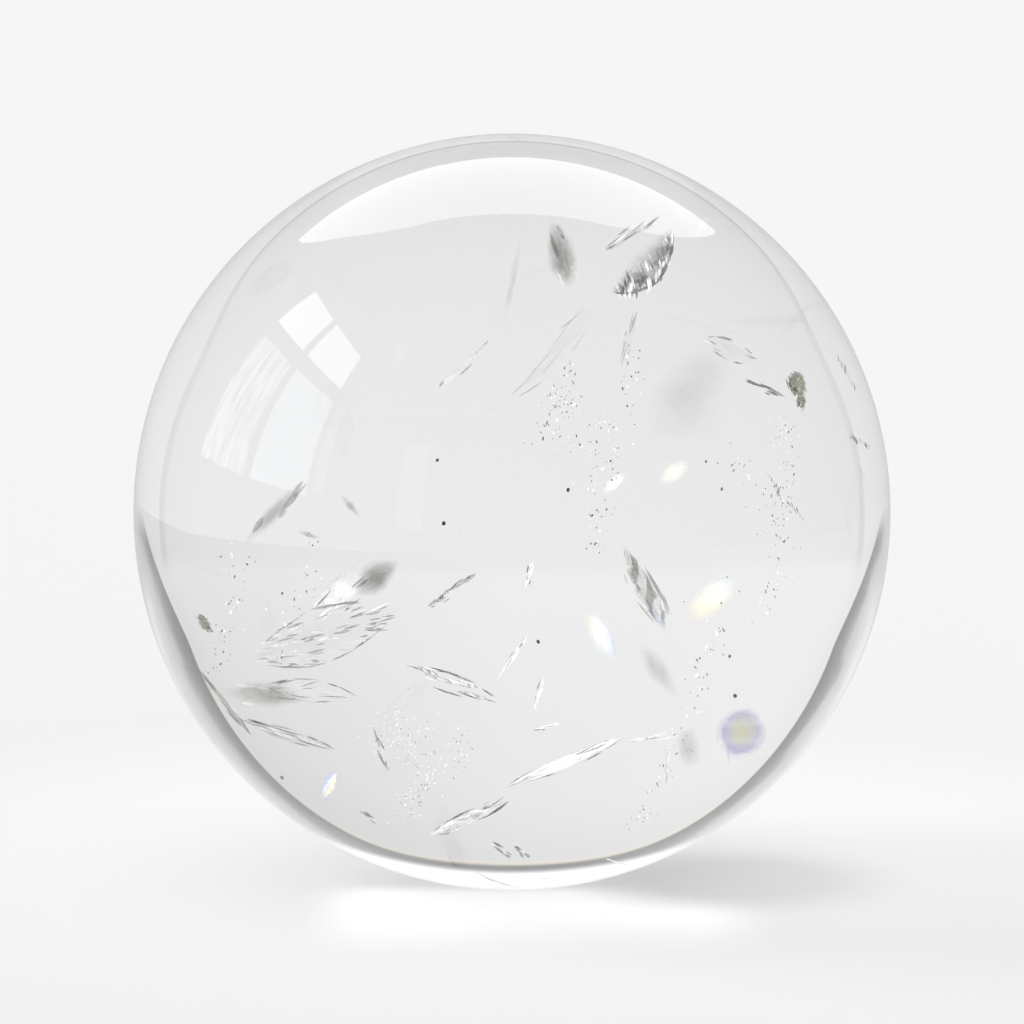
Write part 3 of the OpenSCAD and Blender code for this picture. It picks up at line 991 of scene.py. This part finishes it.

# %% [markdown]
# ### Iris fractures
# Where the film is as thin as a soap bubble, its two faces interfere and it shows spectral
# colours: a white flash with blue and yellow edges, a warm one, and a round one with a violet
# rim. Their tone runs through a colour ramp instead of greys, along the leaf or outwards.
# These colours are painted reflection: the ramp paints into the film the colours that
# interference gives its mirror, and all but the bronze finish glow as painted highlights.

# %% Iris finishes
FLASH = ((0, (1, 0.93, 0.68)), (0.3, (1, 1, 0.96)), (0.7, (0.88, 0.95, 1)), (1, (0.6, 0.62, 0.98)))
WARM = ((0, (1, 0.84, 0.66)), (0.3, (1, 0.97, 0.78)), (0.7, (1, 1, 0.97)), (1, (0.8, 0.95, 0.86)))
RINGS = (
    (0, (0.82, 0.8, 0.55)), (0.45, (0.72, 0.74, 0.74)), (0.75, (0.66, 0.63, 0.88)), (1, (0.9, 0.9, 1)),
)
BRONZE = (
    (0, (0.1, 0.09, 0.07)), (0.4, (0.42, 0.39, 0.32)), (0.7, (0.66, 0.68, 0.64)), (1, (0.4, 0.5, 0.72)),
)
GENTLE = {"polished": 0.3, "mottle": 0.25}
FINISHES["flash"] = fracture_finish("iris_flash", FLASH, 0.42, streak=0.15, top_only=0, **GENTLE)
FINISHES["warm"] = fracture_finish("iris_warm", WARM, 0.36, streak=0.2, top_only=0, **GENTLE)
FINISHES["rings"] = fracture_finish("iris_rings", RINGS, 0.15, streak=0.1, top_only=0, **GENTLE)
FINISHES["bronze"] = fracture_finish("iris_bronze", BRONZE, 0.0, streak=0.5, top_only=0, polished=0.8)
print("finishes", sorted(FINISHES))

# %% Iris fractures
iris = {"slot": "iris_film"}
film_piece("prism_flash", "flash", (0.85, 0.5), soft=0.95, sweep=(0.5, 0.1, 0), rough=0.05,
           plump=1.3, **iris)
film_piece("sun_flash", "warm", (0.85, 0.5), soft=0.85, sweep=(0.5, 0.1, 0), rounded=True, plump=1.15,
           **iris)
film_piece("rainbow_disc", "rings", (0.95, 0.0), 2, lean=20, reach=0.5, thin=0.12, dark=0, soft=0.45,
           sweep=(-0.15, 0.1, 0.95), rounded=True, trim=1.35, plump=0.95, **iris)
film_piece("rainbow_chip", "flash", (0.97, 0.5), 2, dark=0, soft=0.5, sweep=(0.1, 0.6, 0), **iris)
film_piece("prism_leaf", "bronze", (0.6, 0.5), 6, lean=2, reach=0.5, thin=0.14, dark=0.7, soft=0.45,
           splay=3, strong=0.5, sweep=(0.45, 0, 0), rims=3, **iris)
film_piece("prism_tail", "smoky", (0.3, 0.6), soft=0.95, rough=0.05, trim=1.2, plump=1.5)
film_piece("rainbow_wing", "smoky", (0.3, 0.62), soft=0.95, sweep=(0, 0.2, 0), rough=0.05, plump=1.9)
print("iris fractures done")

# %% [markdown]
# ## Droplets, flecks and grains
# A healed fracture leaves a trail of tiny bubbles and flecks. They are far too many to place one
# by one, so Geometry Nodes puts a small stretched body on each point of a cloud. The points are
# the droplets of the CAD node and a seeded scatter of smaller ones close round each.

# %% Fleck nodes
FLECK_TILT = 0.9
FLECK_SPIN = 3.1


def fleck_tree():
    """Points in, flecks out: a stretched icosphere on each point, turned at random."""
    tree = bpy.data.node_groups.new("flecks", "GeometryNodeTree")
    face = tree.interface
    face.new_socket("Points", in_out="INPUT", socket_type="NodeSocketGeometry")
    for title in ("Fleck Length", "Fleck Width"):
        face.new_socket(title, in_out="INPUT", socket_type="NodeSocketFloat")
    face.new_socket("Seed", in_out="INPUT", socket_type="NodeSocketInt")
    face.new_socket("Finish", in_out="INPUT", socket_type="NodeSocketMaterial")
    face.new_socket("Flecks", in_out="OUTPUT", socket_type="NodeSocketGeometry")
    given = add(tree, "NodeGroupInput").outputs
    body = add(tree, "GeometryNodeMeshIcoSphere", Radius=1.0, Subdivisions=1)
    width = given["Fleck Width"]
    stretch = add(tree, "ShaderNodeCombineXYZ", X=width, Y=width, Z=given["Fleck Length"])
    shaped = add(tree, "GeometryNodeTransform", Geometry=body.outputs["Mesh"], Scale=stretch.outputs[0])
    turn = add(tree, "FunctionNodeRandomValue", {"data_type": "FLOAT_VECTOR"}, Seed=given["Seed"])
    turn.inputs["Min"].default_value = (-FLECK_TILT, -FLECK_TILT, -FLECK_SPIN)
    turn.inputs["Max"].default_value = (FLECK_TILT, FLECK_TILT, FLECK_SPIN)
    swell = add(tree, "GeometryNodeInputNamedAttribute", {"data_type": "FLOAT"}, Name="swell")
    placed = add(tree, "GeometryNodeInstanceOnPoints", Points=given["Points"],
                 Instance=shaped.outputs[0],
                 Rotation=turn.outputs["Value"], Scale=swell.outputs["Attribute"])
    real = add(tree, "GeometryNodeRealizeInstances", Geometry=placed.outputs[0])
    dressed = add(tree, "GeometryNodeSetMaterial", Geometry=real.outputs[0], Material=given["Finish"])
    add(tree, "NodeGroupOutput", Flecks=dressed.outputs[0])
    return tree


FLECKS = fleck_tree()
print("fleck tree", len(FLECKS.nodes), "nodes")

# %% Fleck finishes
MOTTLE_SCALE = 4000
MOTTLE = 0.5


def fleck_finish(name, colours, glow):
    """Each fleck has one tone: on droplets it is painted reflection, dark for the room's dark side and
    pale, glowing for its lights; iron grains keep their own black.
    """
    made, tree = new_material(name)
    tone = add(tree, "ShaderNodeAttribute", {"attribute_name": "tone"}).outputs["Fac"]
    spot = add(tree, "ShaderNodeTexCoord").outputs["Object"]
    noise = add(tree, "ShaderNodeTexNoise", Vector=spot, Scale=MOTTLE_SCALE, Detail=2)
    uneven = maths(tree, "MULTIPLY", maths(tree, "SUBTRACT", noise.outputs["Fac"], 0.5), MOTTLE)
    shade = add(tree, "ShaderNodeClamp", Value=maths(tree, "ADD", tone, uneven)).outputs[0]
    colour = ramp(tree, shade, colours)
    # painted highlight: pale droplets glow by emission
    painted_glow = maths(tree, "MULTIPLY", maths(tree, "POWER", tone, 3), glow)
    body = add(tree, "ShaderNodeBsdfPrincipled", Base_Color=colour, Roughness=0.25,
               Emission_Color=colour, Emission_Strength=painted_glow)
    clear = add(tree, "ShaderNodeBsdfTransparent")
    cover = add(tree, "ShaderNodeAttribute", {"attribute_name": "cover"}).outputs["Fac"]
    finish_surface(tree, mix_shaders(tree, cover, clear, body).outputs[0])
    return made


IRON_BLACKS = ((0, (0.012, 0.011, 0.012)), (1, (0.08, 0.07, 0.07)))
droplet = fleck_finish("fluid_droplet", GREYS, 0.6)
iron = fleck_finish("iron_ore_grain", IRON_BLACKS, 0)
print("fleck finishes", droplet.name, iron.name)

# %% Where the flecks go
def fleck_points(node, around, spread, dark, cover):
    """A point on each droplet of a CAD node, and around more, strayed by spread mm, near each."""
    rng = np.random.default_rng(len(node) * 17 + around)
    places, swell, tone, solid = [], [], [], []
    for points in loose_parts(node):
        centre = points.mean(0)
        for k in range(around + 1):
            stray = rng.normal(0, spread * MM, 3) if k else np.zeros(3)
            places.append(tuple(centre + stray))
            swell.append(rng.uniform(0.35, 0.8) if k else rng.uniform(0.7, 1.2))
            tone.append(rng.uniform(0, 0.3) if rng.random() < dark else 1.0)
            solid.append(cover * rng.uniform(0.5, 1))
    cloud = bpy.data.meshes.new(node + "_points")
    cloud.from_pydata(places, [], [])
    for title, values in (("swell", swell), ("tone", tone), ("cover", solid)):
        cloud.attributes.new(title, "FLOAT", "POINT").data.foreach_set("value", values)
    return cloud


print("points helper ready")

# %% Fleck maker
def fleck_piece(node, finish, slot, length, width, around=2, spread=0.35, dark=0.6, cover=0.8):
    """The visible piece of one trail. length and width: of the largest flecks, in mm."""
    cloud = fleck_points(node, around, spread, dark, cover)
    maker = bpy.data.objects.new(node + "_maker", cloud)
    bpy.context.scene.collection.objects.link(maker)
    nodes = maker.modifiers.new("flecks", "NODES")
    nodes.node_group = FLECKS
    values = {"Fleck Length": length * MM, "Fleck Width": width * MM, "Seed": len(node),
              "Finish": finish}
    for item in FLECKS.interface.items_tree:
        if item.name in values:
            nodes[item.identifier] = values[item.name]
    depsgraph = bpy.context.evaluated_depsgraph_get()
    mesh = bpy.data.meshes.new_from_object(maker.evaluated_get(depsgraph))
    bpy.data.objects.remove(maker)
    mesh.polygons.foreach_set("use_smooth", [True] * len(mesh.polygons))
    piece = bpy.data.objects.new(node + "_flecks", mesh)
    bpy.context.scene.collection.objects.link(piece)
    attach(piece, "root")
    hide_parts(node)
    print(piece.name, len(cloud.vertices), "flecks")


print("fleck maker ready")

# %% Trails, cloud and grains
wet = (droplet, "fluid_droplets")
fleck_piece("crown_droplets", *wet, 0.12, 0.04, around=3, spread=0.5, dark=0.75)
fleck_piece("axis_droplets", *wet, 0.09, 0.05, around=3, spread=0.4, dark=0.65)
fleck_piece("east_droplets", *wet, 0.11, 0.04, around=5, spread=0.45, dark=0.75)
fleck_piece("west_droplets", *wet, 0.1, 0.045, around=3, spread=0.4, dark=0.7)
fleck_piece("plumb_droplets", *wet, 0.1, 0.045, around=3, spread=0.4, dark=0.6)
fleck_piece("snow_cloud", *wet, 0.1, 0.04, around=8, spread=0.5, dark=0.3, cover=0.55)
fleck_piece("dark_grains", iron, "iron_ore", 0.15, 0.11, around=0, dark=1, cover=1)

# %% [markdown]
# ## Green flakes
# The two flakes high on the right are chlorite: grey-green plates with dark ribs, so they are
# made like the fractures, in a green finish.

# %% Green flakes
film_piece("green_flakes", "green", (0.85, 0.5), 9, lean=35, reach=0.5, thin=0.13, dark=0.6, soft=0.4,
           splay=6, plump=1.3, trim=1.2, slot="chlorite")
